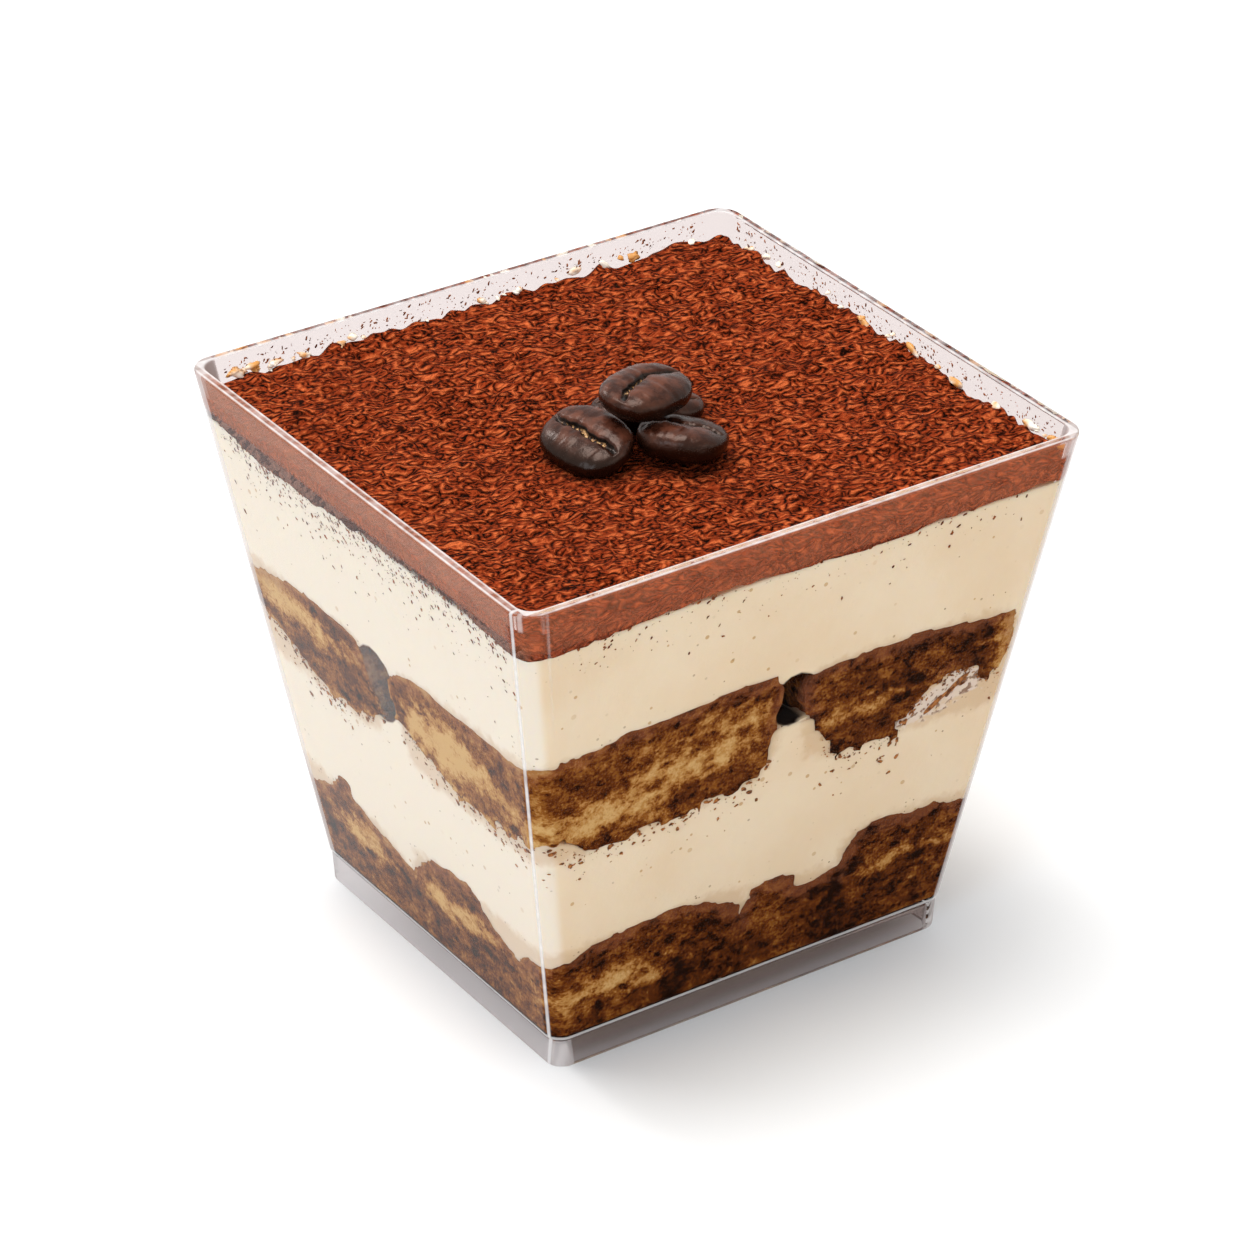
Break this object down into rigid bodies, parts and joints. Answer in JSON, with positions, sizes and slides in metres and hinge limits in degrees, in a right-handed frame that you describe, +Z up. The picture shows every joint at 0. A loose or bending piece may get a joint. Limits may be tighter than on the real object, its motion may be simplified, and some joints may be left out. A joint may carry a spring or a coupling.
{
  "type": "tiramisu in a square cup",
  "caption": "Tiramisu in an almost square, tapered clear plastic cup: soaked sponge fingers and mascarpone cream in layers, a thick cocoa dusting and coffee beans on top.",
  "frame": {"origin": "on the table, under the middle of the cup", "axes": "+Z up; -Y is the cup side with the wide gap between two sponge fingers of the upper layer; +X is to its right"},
  "size_m": [0.07, 0.066, 0.0678],
  "materials": {
    "clear_plastic": "clear moulded polystyrene, glossy, 1.2 mm thick",
    "soaked_sponge": "coffee-soaked sponge finger, damp and crumbly, dark where soaked and tan in the crumb",
    "mascarpone_cream": "smooth pale mascarpone cream with fine pores and stray cocoa specks",
    "cocoa_powder": "coarse red-brown cocoa in small curled crumbs, fully matte",
    "roasted_bean": "dark roasted coffee bean with a satin oily sheen and tan chaff in the groove"
  },
  "bodies": {
    "root": {"cup": "clear_plastic", "finger_lower_front": "soaked_sponge", "finger_lower_right": "soaked_sponge", "finger_lower_left": "soaked_sponge", "finger_lower_back": "soaked_sponge", "finger_lower_scrap": "soaked_sponge", "finger_upper_front": "soaked_sponge", "finger_upper_right": "soaked_sponge", "finger_upper_left": "soaked_sponge", "finger_upper_back": "soaked_sponge", "cream_lower": "mascarpone_cream", "cream_upper": "mascarpone_cream", "cocoa": "cocoa_powder", "bean_left": "roasted_bean", "bean_right": "roasted_bean", "bean_back": "roasted_bean", "bean_top": "roasted_bean"}
  },
  "joints": []
}
